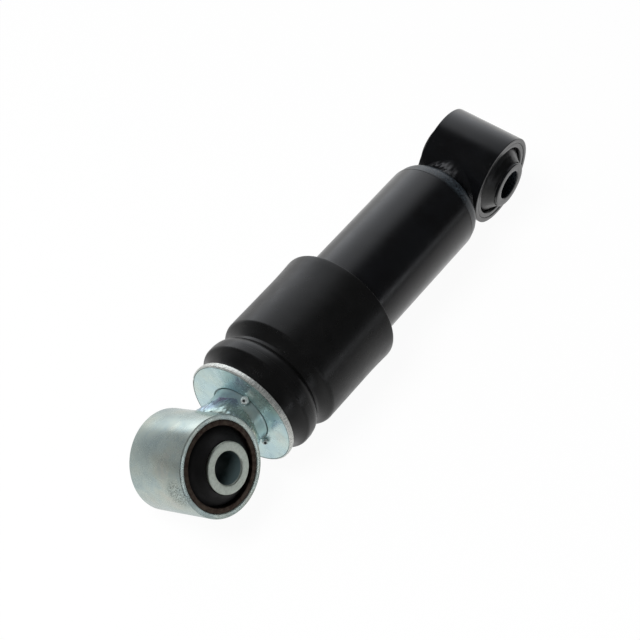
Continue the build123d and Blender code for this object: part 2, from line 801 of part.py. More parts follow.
with BuildPart() as dust_boot:
    with BuildSketch(Plane.XY):
        with BuildLine():
            Line((bulge_end_x, retainer_collar_r), (bulge_end_x, bulge_end_r))
            # outside, from the plate to the open end
            TangentArc((bulge_end_x, bulge_end_r), (crease_x, crease_r), tangent=(-1, 0))
            TangentArc((bulge_x, bulge_r), (crease_x, crease_r), tangent=(1, 0))
            Polyline((bulge_x, bulge_r), (ridge_x, bulge_r), (ridge_x, bulge_r - boot_ridge_drop))
            TangentArc(
                (ridge_x, bulge_r - boot_ridge_drop),
                (groove_end_x, groove_outer_r),
                tangent=(-1, 0),
            )
            Line((groove_end_x, groove_outer_r), (groove_start_x, groove_outer_r))
            ThreePointArc((groove_start_x, groove_outer_r), shoulder_middle, (shoulder_x, shoulder_r))
            TangentArc((cylinder_end_x, cylinder_r), (shoulder_x, shoulder_r), tangent=(1, 0))
            Line((cylinder_end_x, cylinder_r), (flare_x, cylinder_r))
            TangentArc((flare_x, cylinder_r), (open_x + boot_lip, open_r), tangent=(-1, 0))
            # rounded lip, then the inside back to the end wall
            ThreePointArc(
                (open_x + boot_lip, open_r),
                (open_x, open_r - boot_lip),
                (open_x + boot_lip, open_r - boot_wall),
            )
            Polyline(
                (open_x + boot_lip, open_r - boot_wall),
                (flare_x, cylinder_r - boot_wall),
                (cylinder_end_x, cylinder_r - boot_wall),
                (shoulder_x, shoulder_r - boot_wall),
                (groove_start_x - boot_groove_wall, groove_inner_r),
                (groove_end_x, groove_inner_r),
                (ridge_x, bulge_r - boot_wall),
                (bulge_x, bulge_r - boot_wall),
                (crease_x, crease_r - boot_wall),
                (boot_end_x, bulge_end_r - boot_wall),
                (boot_end_x, retainer_collar_r),
                (bulge_end_x, retainer_collar_r),
            )
        make_face()
    revolve(axis=Axis.X)
finish(dust_boot, "dust_boot")

print("travel in mm from", -bump_travel, "to", round(rebound_travel, 3))
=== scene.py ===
from math import asin, atan2, cos, hypot, pi, radians, sin, sqrt, tan

import bpy
from mathutils import Matrix, Vector, noise


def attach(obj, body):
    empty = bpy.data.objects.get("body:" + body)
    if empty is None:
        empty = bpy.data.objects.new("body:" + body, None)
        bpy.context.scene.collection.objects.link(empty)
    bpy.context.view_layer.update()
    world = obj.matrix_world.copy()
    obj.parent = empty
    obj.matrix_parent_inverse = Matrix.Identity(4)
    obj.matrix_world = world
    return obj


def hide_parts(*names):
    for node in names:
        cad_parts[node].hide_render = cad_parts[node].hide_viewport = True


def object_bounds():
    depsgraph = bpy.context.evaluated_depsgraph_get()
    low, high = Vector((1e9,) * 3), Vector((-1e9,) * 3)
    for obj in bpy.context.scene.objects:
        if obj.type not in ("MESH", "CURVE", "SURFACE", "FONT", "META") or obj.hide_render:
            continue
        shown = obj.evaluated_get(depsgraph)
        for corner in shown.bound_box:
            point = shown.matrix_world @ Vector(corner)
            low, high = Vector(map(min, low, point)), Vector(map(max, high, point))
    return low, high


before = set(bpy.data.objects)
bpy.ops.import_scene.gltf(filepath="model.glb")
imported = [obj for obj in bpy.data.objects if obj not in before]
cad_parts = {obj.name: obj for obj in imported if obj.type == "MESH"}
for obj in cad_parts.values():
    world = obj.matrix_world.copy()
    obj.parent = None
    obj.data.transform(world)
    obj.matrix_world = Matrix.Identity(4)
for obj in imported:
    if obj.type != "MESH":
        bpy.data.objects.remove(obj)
cad_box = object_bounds()

# The damper lies along X, in metres. Profiles below are in millimetres and are scaled by MM.
MM = 0.001
scene = bpy.context.scene
scene.view_settings.view_transform = "Standard"


# Camera, floor and light

# where the camera stands and looks, and its lens, as fitted to the photograph's outlines
CAMERA_PLACE, CAMERA_AIM = Vector((0.4830, 0.2729, 0.5813)), Vector((0.1270, 0.0149, 0.0366))
CAMERA_SENSOR, CAMERA_LENS = 36.0, 108.72

camera = bpy.data.objects.new("camera", bpy.data.cameras.new("camera"))
scene.collection.objects.link(camera)
camera.location = CAMERA_PLACE
camera.rotation_euler = (CAMERA_AIM - CAMERA_PLACE).to_track_quat("-Z", "Y").to_euler()
camera.data.sensor_width = CAMERA_SENSOR
camera.data.lens = CAMERA_LENS
camera.data.clip_start = 0.01
camera.data.clip_end = 20.0
scene.camera = camera


def linear(colour):
    """An sRGB hex colour as linear red, green, blue and alpha."""
    parts = [int(colour[i:i + 2], 16) / 255 for i in (1, 3, 5)]
    return [c / 12.92 if c <= 0.04045 else ((c + 0.055) / 1.055) ** 2.4 for c in parts] + [1.0]


def add(tree, kind, sockets=None, stops=None, **settings):
    """Add a node, set its properties, and link or fill its sockets by name or number."""
    made = tree.nodes.new(kind)
    for name, value in settings.items():
        setattr(made, name, value)
    for socket, value in (sockets or {}).items():
        if isinstance(value, bpy.types.NodeSocket):
            tree.links.new(value, made.inputs[socket])
        else:
            made.inputs[socket].default_value = value
    if stops:
        ramp = made.color_ramp
        while len(ramp.elements) < len(stops):
            ramp.elements.new(0.5)
        for element, (place, colour) in zip(ramp.elements, stops):
            element.position = place
            element.color = linear(colour)
    return made


def faded(tree, level, *fades):
    """A level that fades softly by one or more values, in turn.

    A fade has the value that it goes by, where it starts and ends, and its share at both.
    """
    for value, start, end, first, last in fades:
        share = add(tree, "ShaderNodeMapRange", {0: value, 1: start, 2: end, 3: first, 4: last},
                    interpolation_type="SMOOTHSTEP").outputs[0]
        level = add(tree, "ShaderNodeMath", {0: level, 1: share},
                    operation="MULTIPLY").outputs[0]
    return level


# White paper floor. The camera sees it as white with a small part of its own shading, which keeps
# the shadow. Mirrors see it brighter towards the lit backdrop and darker towards the open side.
FLOOR_GAP, FLOOR_HALF = 0.0002, 6.0
# how much of what is seen of the paper is plain light, and the strength that comes out white
GLOW_SHARE, PAPER_WHITE = 0.94, 1.015

floor_mesh = bpy.data.meshes.new("paper_floor")
floor_z = cad_box[0].z - FLOOR_GAP
floor_mesh.from_pydata([(FLOOR_HALF * x, FLOOR_HALF * y, floor_z)
                        for x, y in ((-1, -1), (1, -1), (1, 1), (-1, 1))], [], [(0, 1, 2, 3)])
floor = bpy.data.objects.new("paper_floor", floor_mesh)
scene.collection.objects.link(floor)
paper = bpy.data.materials.new("white_paper")
paper.use_nodes = True
tree = paper.node_tree
tree.nodes.clear()
path = add(tree, "ShaderNodeLightPath")
seen = path.outputs["Is Camera Ray"]
for ray in ("Is Glossy Ray", "Is Transmission Ray"):
    seen = add(tree, "ShaderNodeMath", {0: seen, 1: path.outputs[ray]},
               operation="MAXIMUM").outputs[0]
share = add(tree, "ShaderNodeMath", {0: seen, 1: GLOW_SHARE}, operation="MULTIPLY")
place = add(tree, "ShaderNodeSeparateXYZ",
            {0: add(tree, "ShaderNodeTexCoord").outputs["Object"]})
table_x, table_y = place.outputs["X"], place.outputs["Y"]
along_table = add(tree, "ShaderNodeMapRange", {0: table_x, 1: -0.4, 2: 0.6, 3: 1.85, 4: 0.10})
mirrored = faded(tree, along_table.outputs[0], (table_y, -0.01, 0.11, 1.0, 0.5),
                 (table_y, 0.08, 0.28, 1.0, 0.3), (table_y, -0.07, -0.02, 0.76, 1.0))
paper_light = add(tree, "ShaderNodeMix",
                  {0: path.outputs["Is Camera Ray"], 2: mirrored, 3: PAPER_WHITE},
                  data_type="FLOAT")
matt = add(tree, "ShaderNodeBsdfDiffuse", {"Color": linear("#f2f2f2")})
glow = add(tree, "ShaderNodeEmission", {"Color": linear("#ffffff"),
                                        "Strength": paper_light.outputs[0]})
paper_mix = add(tree, "ShaderNodeMixShader",
                {0: share.outputs[0], 1: matt.outputs[0], 2: glow.outputs[0]})
add(tree, "ShaderNodeOutputMaterial", {"Surface": paper_mix.outputs[0]})
floor_mesh.materials.append(paper)

# Studio round the table: a lit backdrop behind the damper and to its left, brightest low down,
# a dim wall beside it, the table's lit far edge on the other side, and a dark room elsewhere.
# The camera sees white behind everything.
DARK_ROOM = 0.05

world = bpy.data.worlds.new("studio")
world.use_nodes = True
scene.world = world
tree = world.node_tree
tree.nodes.clear()
way = add(tree, "ShaderNodeSeparateXYZ",
          {0: add(tree, "ShaderNodeTexCoord").outputs["Generated"]})
east, north, up = way.outputs["X"], way.outputs["Y"], way.outputs["Z"]
wall = faded(tree, 1.0, (north, -0.95, -0.55, 0.30, 0.0), (up, 0.1, 0.6, 1.0, 0.0))
far_edge = faded(tree, 1.0, (north, 0.55, 0.85, 0.0, 2.1), (up, 0.0, 0.15, 1.0, 0.0),
                 (east, -0.56, -0.46, 0.4, 1.0))
backdrop = faded(tree, 1.0, (east, -0.44, -0.16, 1.5, 0.0), (north, -0.45, 0.10, 1.0, 0.0),
                 (up, 0.1, 1.0, 1.0, 0.5))
studio = wall
for light in (far_edge, backdrop, DARK_ROOM):
    studio = add(tree, "ShaderNodeMath", {0: studio, 1: light}, operation="ADD").outputs[0]
by_camera = add(tree, "ShaderNodeLightPath").outputs["Is Camera Ray"]
level = add(tree, "ShaderNodeMix", {0: by_camera, 2: studio, 3: 1.0}, data_type="FLOAT")
tint = add(tree, "ShaderNodeMix", {0: by_camera, 6: linear("#f3f6fb"), 7: linear("#ffffff")},
           data_type="RGBA")
sky = add(tree, "ShaderNodeBackground", {"Color": tint.outputs[2], "Strength": level.outputs[0]})
add(tree, "ShaderNodeOutputWorld", {"Surface": sky.outputs[0]})

# A square softbox above the rod's end, aimed at the middle of the damper and kept out of its
# reflections, which come from the studio alone
SOFTBOX_PLACE, SOFTBOX_AIM = Vector((0.60, -0.15, 1.05)), Vector((0.09, 0, 0))
SOFTBOX_SIDE, SOFTBOX_POWER = 0.55, 11.0

lamp = bpy.data.lights.new("key_softbox", "AREA")
lamp.size = SOFTBOX_SIDE
lamp.energy = SOFTBOX_POWER
softbox = bpy.data.objects.new("key_softbox", lamp)
scene.collection.objects.link(softbox)
softbox.location = SOFTBOX_PLACE
softbox.rotation_euler = (SOFTBOX_AIM - SOFTBOX_PLACE).to_track_quat("-Z", "Y").to_euler()
softbox.visible_camera = False
softbox.visible_glossy = False


# Mesh tools

def placed(origin_mm, along, across):
    """A piece's frame: its local Z lies along the given direction and its local X across it."""
    z = Vector(along).normalized()
    x = Vector(across).normalized()
    y = z.cross(x)
    turn = Matrix((x, y, z)).transposed().to_4x4()
    return Matrix.Translation(Vector(origin_mm) * MM) @ turn


def mesh_object(name, points_mm, faces, place, crease=32.0):
    """A mesh object from points in mm in its own frame, smooth except at its sharp edges."""
    mesh = bpy.data.meshes.new(name)
    mesh.from_pydata([Vector(p) * MM for p in points_mm], [], faces)
    mesh.validate()
    mesh.shade_smooth()
    mesh.set_sharp_from_angle(angle=radians(crease))
    made = bpy.data.objects.new(name, mesh)
    scene.collection.objects.link(made)
    made.matrix_world = place
    return made


def rounded(corners, steps=4):
    """Points of a closed profile of (along, radius, round) corners, each turned to an arc.

    An arc takes at most 0.48 of the side before and after it.
    """
    points = []
    count = len(corners)
    for i, (a, r, size) in enumerate(corners):
        if size <= 0:
            points.append((a, r))
            continue
        here = Vector((a, r))
        before = Vector(corners[i - 1][:2]) - here
        after = Vector(corners[(i + 1) % count][:2]) - here
        most = 0.48 * min(before.length, after.length)
        before.normalize()
        after.normalize()
        half = before.angle(after) / 2
        reach = min(size / tan(half), most)
        radius = reach * tan(half)
        centre = here + (before + after).normalized() * (radius / sin(half))
        start = here + before * reach - centre
        end = here + after * reach - centre
        sweep = start.angle_signed(end)
        for k in range(steps + 1):
            angle = -sweep * k / steps
            points.append((centre.x + start.x * cos(angle) - start.y * sin(angle),
                           centre.y + start.x * sin(angle) + start.y * cos(angle)))
    return points


def curve_from(start, heading, end, steps):
    """Corners without rounding on the arc that leaves start along heading and ends at end."""
    s, e = Vector(start), Vector(end)
    h = Vector(heading).normalized()
    side = Vector((-h.y, h.x))
    chord = e - s
    radius = chord.length_squared / (2 * chord.dot(side))
    centre = s + side * radius
    a0 = atan2(s.y - centre.y, s.x - centre.x)
    turn = atan2(e.y - centre.y, e.x - centre.x) - a0
    return [(centre.x + abs(radius) * cos(a0 + turn * k / steps),
             centre.y + abs(radius) * sin(a0 + turn * k / steps), 0.0) for k in range(steps + 1)]


def closed_round(name, rows, place):
    """A mesh object from one row of (along, radius) points per step of angle about local Z."""
    steps, n = len(rows), len(rows[0])
    points = [(r * cos(2 * pi * k / steps), r * sin(2 * pi * k / steps), a)
              for k, row in enumerate(rows) for a, r in row]
    faces = []
    for k in range(steps):
        m = (k + 1) % steps
        for i in range(n):
            j = (i + 1) % n
            faces.append((k * n + i, k * n + j, m * n + j, m * n + i))
    # a row that runs the other way round would turn the faces inside out
    first = rows[0]
    if sum(first[i - 1][0] * first[i][1] - first[i][0] * first[i - 1][1] for i in range(n)) > 0:
        faces = [face[::-1] for face in faces]
    return mesh_object(name, points, faces, place)


def turned(name, profile, place, steps=192, wave=None):
    """Turn a closed profile of (along, radius) points about the piece's local Z axis.

    wave(along, radius, angle) gives a small change of both where the real surface isn't true.
    """
    rows = []
    for k in range(steps):
        angle = 2 * pi * k / steps
        changes = [wave(a, r, angle) if wave else (0.0, 0.0) for a, r in profile]
        rows.append([(a + da, r + dr) for (a, r), (da, dr) in zip(profile, changes)])
    return closed_round(name, rows, place)


def grain_noise(x, y, z, size_mm, seed=0.0):
    """Smooth noise from -1 to 1 with lumps of about the given size."""
    return noise.noise(Vector((x, y, z)) / size_mm + Vector((seed, 0.37 * seed, -seed)))


def ring_noise(angle, radius, height, size_mm, seed):
    """The same noise round a ring of the given radius and height, so that it closes on itself."""
    return grain_noise(radius * cos(angle), radius * sin(angle), height, size_mm, seed)


def dress(piece, body, node, material):
    """Hand a finished piece over: its body, the node it stands for and its material."""
    piece.data.materials.clear()
    piece.data.materials.append(material)
    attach(piece, body)
    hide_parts(node)


# Sizes of the outside, in mm, as in the solids

EYE_SPACING = 184.0
ROD_TURN = radians(32.7)
EYE_R, EYE_WIDTH = 19.0, 29.4
SHELL_R, SHELL_INNER_R, SHELL_LENGTH = 17.0, 14.7, 29.0
SLEEVE_R, SLEEVE_BORE_R, SLEEVE_LENGTH = 9.7, 6.1, 37.6
PLATE_BACK, PLATE_FRONT, PLATE_R = 154.3, 156.7, 23.0
HUB_R = 11.85
TUBE_R, TUBE_WALL = 20.0, 1.6
CAP_X, CAP_SEAM = 19.4, 30.0
TUBE_END = 136.0

along_x = placed((0, 0, 0), (1, 0, 0), (0, 1, 0))
tube_eye_place = placed((0, 0, 0), (0, 1, 0), (1, 0, 0))
rod_eye_place = placed((EYE_SPACING, 0, 0), (0, cos(ROD_TURN), sin(ROD_TURN)), (1, 0, 0))


# Materials

def per_mm(size):
    """Noise scale, in cells per metre, for lumps of the given size in mm."""
    return 1000.0 / size


def lumps(tree, coords, size, detail=3.0, rough=0.5, stretch=(1, 1, 1), shift=(0, 0, 0),
          levels=None, ends=(0.35, 0.65)):
    """Noise with lumps of the given size in mm, stretched along the piece's own axes.

    levels are the two values that it is spread over, from one end of its own range to the other.
    """
    place = add(tree, "ShaderNodeMapping",
                {"Vector": coords, "Scale": stretch, "Location": shift}).outputs[0]
    value = add(tree, "ShaderNodeTexNoise", {"Vector": place, "Scale": per_mm(size),
                                             "Detail": detail, "Roughness": rough}).outputs["Fac"]
    if levels:
        value = add(tree, "ShaderNodeMapRange", {0: value, 1: ends[0], 2: ends[1], 3: levels[0],
                                                 4: levels[1]}).outputs[0]
    return value


def distance_out(tree, coords):
    """Distance from the piece's local Z axis, in metres."""
    flat = add(tree, "ShaderNodeVectorMath", {0: coords, 1: (1, 1, 0)}, operation="MULTIPLY")
    return add(tree, "ShaderNodeVectorMath", {0: flat.outputs[0]},
               operation="LENGTH").outputs["Value"]


def ring_mask(tree, coords, inner, outer, soft):
    """1 between two distances in mm from the piece's local Z axis and 0 outside them."""
    out = distance_out(tree, coords)
    return faded(tree, 1.0, (out, (inner - soft) * MM, inner * MM, 0.0, 1.0),
                 (out, outer * MM, (outer + soft) * MM, 1.0, 0.0))


def new_finish(name):
    """An empty material, its node tree and the piece's own coordinates."""
    made = bpy.data.materials.new(name)
    made.use_nodes = True
    made.node_tree.nodes.clear()
    coords = add(made.node_tree, "ShaderNodeTexCoord").outputs["Object"]
    return made, made.node_tree, coords


def end_finish(tree, colour, stains, gloss, layers, other):
    """Join a finish's colour, stains, gloss and height to its shader.

    A stain has where it lies, its strength there and its colour. A layer has its value and its
    height in mm. other holds the shader's other sockets.
    """
    for where, strength, stain in stains:
        share = add(tree, "ShaderNodeMath", {0: where, 1: strength},
                    operation="MULTIPLY").outputs[0]
        colour = add(tree, "ShaderNodeMix", {0: share, 6: colour, 7: stain},
                     data_type="RGBA").outputs[2]
    sockets = {"Base Color": colour, "Roughness": gloss, **other}
    below = {}
    for value, height in layers:
        relief = add(tree, "ShaderNodeBump",
                     {"Height": value, "Distance": height * MM, "Strength": 1.0, **below})
        below = {"Normal": relief.outputs[0]}
    shader = add(tree, "ShaderNodeBsdfPrincipled", {**sockets, **below})
    add(tree, "ShaderNodeOutputMaterial", {"Surface": shader.outputs["BSDF"]})


def black_enamel(name, edge_texture=False, gritty=None):
    """Black stoving enamel sprayed on steel: satin, with a faint orange peel and few dust nibs.

    gritty is a pair of distances in mm from the piece's axis between which dry overspray has left
    the enamel rough; its bluish grey there is partly painted light.
    """
    made, tree, coords = new_finish(name)
    colour = add(tree, "ShaderNodeValToRGB", {"Fac": lumps(tree, coords, 9.0)},
                 stops=[(0.35, "#0b0b0c"), (0.65, "#101113")]).outputs[0]
    gloss = lumps(tree, coords, 5.0, shift=(0.3, 0, 0), levels=(0.20, 0.27))
    stains = []
    # the nibs are really under 0.2 mm across, and are drawn coarser so that they show
    orange_peel = lumps(tree, coords, 1.1, detail=1.0)
    nibs = lumps(tree, coords, 0.35, detail=2.0)
    layers = [(orange_peel, 0.004), (nibs, 0.002)]
    if edge_texture:
        layers.append((lumps(tree, coords, 0.8, rough=0.7), 0.05))
    if gritty:
        grit = lumps(tree, coords, 0.6, rough=0.75, shift=(0.4, 0.1, 0), levels=(0.05, 1.0),
                     ends=(0.42, 0.60))
        band = add(tree, "ShaderNodeMath",
                   {0: ring_mask(tree, coords, gritty[0], gritty[1], 0.6), 1: grit},
                   operation="MULTIPLY").outputs[0]
        # partly painted light: the grit's bluish grey
        stains.append((band, 1.0, linear("#38424a")))
        gloss = add(tree, "ShaderNodeMix", {0: band, 2: gloss, 3: 0.55},
                    data_type="FLOAT").outputs[0]
    end_finish(tree, colour, stains, gloss, layers, {"IOR": 1.52})
    return made


def moulded_rubber(name, low, high, rough_low, rough_high, grain=0.5, height=0.012, ior=1.50):
    """Black moulded rubber: a dull sheen, a fine even skin and lighter bloom in places.

    grain is the size in mm of what the mould's blasted wall leaves on the skin. It is really
    about 0.1, and is drawn coarser so that it shows.
    """
    made, tree, coords = new_finish(name)
    colour = add(tree, "ShaderNodeValToRGB", {"Fac": lumps(tree, coords, 7.0)},
                 stops=[(0.35, low), (0.68, high)]).outputs[0]
    gloss = lumps(tree, coords, 4.0, shift=(0, 0.2, 0), levels=(rough_low, rough_high))
    skin = lumps(tree, coords, grain, detail=2.0)
    end_finish(tree, colour, [], gloss, [(skin, height)], {"IOR": ior})
    return made


# how the passivate's colour clouds the plate, by the noise's value
SILVER_CLOUDS = [(0.30, "#b6c6c6"), (0.45, "#c4d1cf"), (0.60, "#cad2ca"), (0.74, "#d2d3c8")]
GREEN_CLOUDS = [(0.30, "#b2c2c0"), (0.45, "#c1cfca"), (0.60, "#c6d0c7"), (0.74, "#cccfc5")]
BLUE_CLOUDS = [(0.30, "#c0dce4"), (0.45, "#cde6e8"), (0.60, "#d3e8e4"), (0.74, "#dfe7de")]
VIOLET_CLOUDS = [(0.28, "#a9a0c0"), (0.40, "#aec4d4"), (0.55, "#c3dcd8"), (0.72, "#d8dccb")]
# paler than the plate's zinc, as painted highlight on the tack welds
HIGHLIGHT_PALE_CLOUDS = [(0.30, "#d3dfdf"), (0.70, "#eef2ee")]


def bright_zinc(name, clouds, marks=None, rough=(0.20, 0.33), peel=0.010, haze=0.12,
                sheared=None, pitted=None, pit_shade=None):
    """Bright zinc plate with a clear blue passivate: silver, clouded with cool blue-green and
    straw, with soft smudges from handling and the marks of the steel below. The passivate's thin
    haze takes a little of the mirror away.

    sheared is a distance in mm from the piece's axis beyond which the steel was sheared: duller
    and more neutral. A dark line of painted shade lies where it meets the face, and round the
    boss's foot.
    pitted is the middle of a patch where the plate came out dark and grainy. crater is the size in
    mm of the shrinkage hole in the middle of a tack weld, painted dark as its shade.
    """
    made, tree, coords = new_finish(name)
    colour = add(tree, "ShaderNodeValToRGB", {"Fac": lumps(tree, coords, 11.0, detail=4.0)},
                 stops=clouds).outputs[0]
    gloss = lumps(tree, coords, 6.0, detail=4.0, rough=0.6, shift=(0.7, 0, 0.1), levels=rough)
    metallic = 1.0 - haze
    streaks = lumps(tree, coords, 4.0, detail=5.0, rough=0.65, shift=(0.1, 0.4, 0.2),
                    levels=(0.0, 0.45), ends=(0.50, 0.75))
    spots = lumps(tree, coords, 0.9, rough=0.7, shift=(0.2, 0.1, 0.6), levels=(0.0, 0.5),
                  ends=(0.66, 0.80))
    stains = [(streaks, 1.0, linear("#9fb6bd")), (spots, 1.0, linear("#8a9594"))]
    if pitted:
        away = add(tree, "ShaderNodeVectorMath", {0: coords, 1: pitted}, operation="DISTANCE")
        pits = lumps(tree, coords, 0.55, rough=0.8, shift=(0.3, 0.2, 0), levels=(0.0, 1.0),
                     ends=(0.47, 0.58))
        patch = faded(tree, 1.0, (away.outputs["Value"], 3.0 * MM, 7.5 * MM, 1.0, 0.0))
        stains.append((patch, pits, linear("#646b66")))
    if pit_shade:
        # painted shade: a dark spot in the tack's pit
        stains.append((ring_mask(tree, coords, 0.0, pit_shade, 0.25), 0.93, linear("#161b1c")))
    if sheared:
        rim = ring_mask(tree, coords, sheared, sheared + 9.0, 0.12)
        grain = lumps(tree, coords, 0.35, rough=0.7, stretch=(1, 1, 0.25))
        torn_steel = add(tree, "ShaderNodeValToRGB", {"Fac": grain},
                         stops=[(0.36, "#b4bab5"), (0.60, "#fafbf6")]).outputs[0]
        # painted shade: dark lines in the crease by the rim and round the boss's foot
        crease_shade_lines = add(tree, "ShaderNodeMath",
                         {0: ring_mask(tree, coords, sheared - 0.36, sheared - 0.18, 0.10),
                          1: ring_mask(tree, coords, HUB_R, HUB_R + 0.55, 0.12)},
                         operation="MAXIMUM").outputs[0]
        shade_strength = add(tree, "ShaderNodeMapRange",
                   {0: grain, 1: 0.35, 2: 0.65, 3: 0.6, 4: 1.0}).outputs[0]
        stains += [(rim, 1.0, torn_steel), (crease_shade_lines, shade_strength, linear("#2c3634"))]
        gloss = add(tree, "ShaderNodeMix", {0: rim, 2: gloss, 3: 0.42},
                    data_type="FLOAT").outputs[0]
        metallic = add(tree, "ShaderNodeMapRange",
                       {0: rim, 1: 0.0, 2: 1.0, 3: metallic, 4: 0.78}).outputs[0]
    # the steel's waves, and over them its grain, drawn coarser than it is so that it shows
    layers = [(lumps(tree, coords, 2.4, detail=2.0), peel), (lumps(tree, coords, 0.45), 0.0015)]
    if marks:
        layers.append((marks(tree, coords), 0.006))
    end_finish(tree, colour, stains, gloss, layers, {"Metallic": metallic})
    return made


def plain_metal(name, low, high, rough_low, rough_high, size=3.0, stretch=(1, 1, 1), height=0.003,
                bore=None):
    """A bare metal whose colour and gloss vary between two values in marks of the given size.

    bore is a radius in mm about the local Z axis and the colour painted inside it as the bore's
    shade, which hides most of the metal.
    """
    made, tree, coords = new_finish(name)
    marks = lumps(tree, coords, size, detail=4.0, rough=0.6, stretch=stretch)
    colour = add(tree, "ShaderNodeValToRGB", {"Fac": marks},
                 stops=[(0.35, low), (0.65, high)]).outputs[0]
    gloss = add(tree, "ShaderNodeMapRange",
                {0: marks, 1: 0.35, 2: 0.65, 3: rough_low, 4: rough_high}).outputs[0]
    stains, metallic = [], 1.0
    if bore:
        radius, bore_shade_colour = bore
        inside = add(tree, "ShaderNodeMapRange",
                     {0: distance_out(tree, coords), 1: (radius + 0.1) * MM,
                      2: (radius + 0.3) * MM, 3: 1.0, 4: 0.0}).outputs[0]
        # painted shade: the bore is coloured dark in place of the shade inside it
        stains.append((inside, 1.0, linear(bore_shade_colour)))
        metallic = add(tree, "ShaderNodeMapRange",
                       {0: inside, 1: 0.0, 2: 1.0, 3: metallic, 4: 0.3}).outputs[0]
    end_finish(tree, colour, stains, gloss, [(marks, height)], {"Metallic": metallic})
    return made


def lathe_rings(tree, coords, pitch=0.35):
    """Height of the fine rings that a turning tool leaves on a face, about the local Z axis.

    The tool's real feed of about 0.15 mm is too fine to show, so they lie further apart.
    """
    ring_place = add(tree, "ShaderNodeCombineXYZ", {0: distance_out(tree, coords)})
    return add(tree, "ShaderNodeTexNoise",
               {"Vector": ring_place.outputs[0], "Scale": per_mm(pitch), "Detail": 2.0}
               ).outputs["Fac"]


# the paint on the tube and its eye, even and satin
enamel = black_enamel("black_stoved_enamel")
# on the cap's shoulder and on the sleeve's face it went on dry: gritty in a ring, and greyer there
# partly as painted light
enamel_on_cap = black_enamel("black_stoved_enamel_on_cap", gritty=(16.6, 19.5))
enamel_on_sleeve = black_enamel("black_stoved_enamel_on_sleeve", gritty=(0.0, 5.9))
# over the weld the ripples of the bead show through it
enamel_on_weld = black_enamel("black_stoved_enamel_on_weld", edge_texture=True)
# moulded boot skin: a little greyer and duller than the paint
boot_skin = moulded_rubber("boot_moulded_rubber", "#0f0f0f", "#141414", 0.27, 0.34,
                           height=0.006, ior=1.42)
# the rod eye's bush, bare natural rubber: near black and matt
bush_rubber = moulded_rubber("bush_natural_rubber", "#080808", "#0f0e0e", 0.60, 0.74,
                             grain=0.8, height=0.03)
# the tube's bush was sprayed with the eye: streaks of enamel catch the light on its rubber
painted_rubber = moulded_rubber("bush_rubber_under_enamel", "#0b0b0c", "#131312", 0.28, 0.44,
                                grain=1.6, height=0.09)
# the two stops on the rod, of hard rubber: dark grey with a dull sheen
buffer_rubber = moulded_rubber("buffer_hard_rubber", "#1a1a1a", "#242322", 0.50, 0.65)
# nitrile rubber of the seals: black and smooth, with a soft shine
seal_rubber = moulded_rubber("seal_nitrile_rubber", "#0c0c0c", "#131313", 0.30, 0.42)
# plated sheet steel of the hidden boot retainer
zinc = bright_zinc("bright_zinc_plate", SILVER_CLOUDS)
# plated cut tube of the rod eye: slightly green, with one dark grainy patch near its end
zinc_barrel = bright_zinc("bright_zinc_on_rod_eye", GREEN_CLOUDS, rough=(0.22, 0.33), peel=0.006,
                          pitted=(0.0188, -0.0026, 0.0105))
# plated blanked disc: bluer and softer, with a pale, torn rim
zinc_plate = bright_zinc("bright_zinc_on_blanked_plate", BLUE_CLOUDS, rough=(0.24, 0.34),
                         sheared=22.6)
# plated turned boss: the tool's rings spread its reflections
zinc_turned = bright_zinc("bright_zinc_on_turned_boss", BLUE_CLOUDS, marks=lathe_rings,
                          rough=(0.28, 0.40), haze=0.2)
# plate over the weld bead: lumpy and shiny, with a violet tint in places
zinc_weld = bright_zinc("bright_zinc_on_weld", VIOLET_CLOUDS, rough=(0.14, 0.30), peel=0.04,
                        haze=0.15)
# plate over the tack welds: smooth, painted pale as highlight, round a hole painted dark as shade
zinc_tack = bright_zinc("bright_zinc_on_tack_weld", HIGHLIGHT_PALE_CLOUDS, rough=(0.10, 0.20), peel=0.03,
                        haze=0.5, pit_shade=0.45)
# brown bonding primer on the bush's shell: dull, uneven, worn through to steel in places
primer = plain_metal("brown_bonding_primer", "#3d302b", "#6e6257", 0.38, 0.60, size=2.0,
                     height=0.01)
# cut and faced steel tube: grey, slightly green and matt, with painted shade in its bore
cut_steel = plain_metal("faced_steel_tube", "#ccd4c8", "#e6eee2", 0.30, 0.44, size=1.2,
                        bore=(6.0, "#4a595b"))
# turned and pressed steel under a film of oil: plain grey with soft reflections
oiled_steel = plain_metal("oiled_bright_steel", "#a8a9ac", "#c0c1c4", 0.22, 0.34)
# ground hard chrome of the rod: a cold, nearly clear mirror
hard_chrome = plain_metal("ground_hard_chrome", "#d2d5da", "#dfe2e6", 0.06, 0.12, size=0.6,
                          stretch=(1, 1, 6))
# pressed and sintered iron: dull dark grey with a fine open grain, drawn at 0.4 mm to show
sintered = plain_metal("sintered_iron", "#66666a", "#848488", 0.45, 0.60, size=0.4, height=0.02)
# bronze lining of the guide's bush: brownish gold with a soft sheen
bronze = plain_metal("bearing_bronze", "#a88a4e", "#c9a765", 0.26, 0.38)
# filled plastic of the piston's sliding band: matt brown
band_plastic = moulded_rubber("filled_sliding_plastic", "#3d3228", "#4a3e32", 0.40, 0.52)


# Eyes and bushes

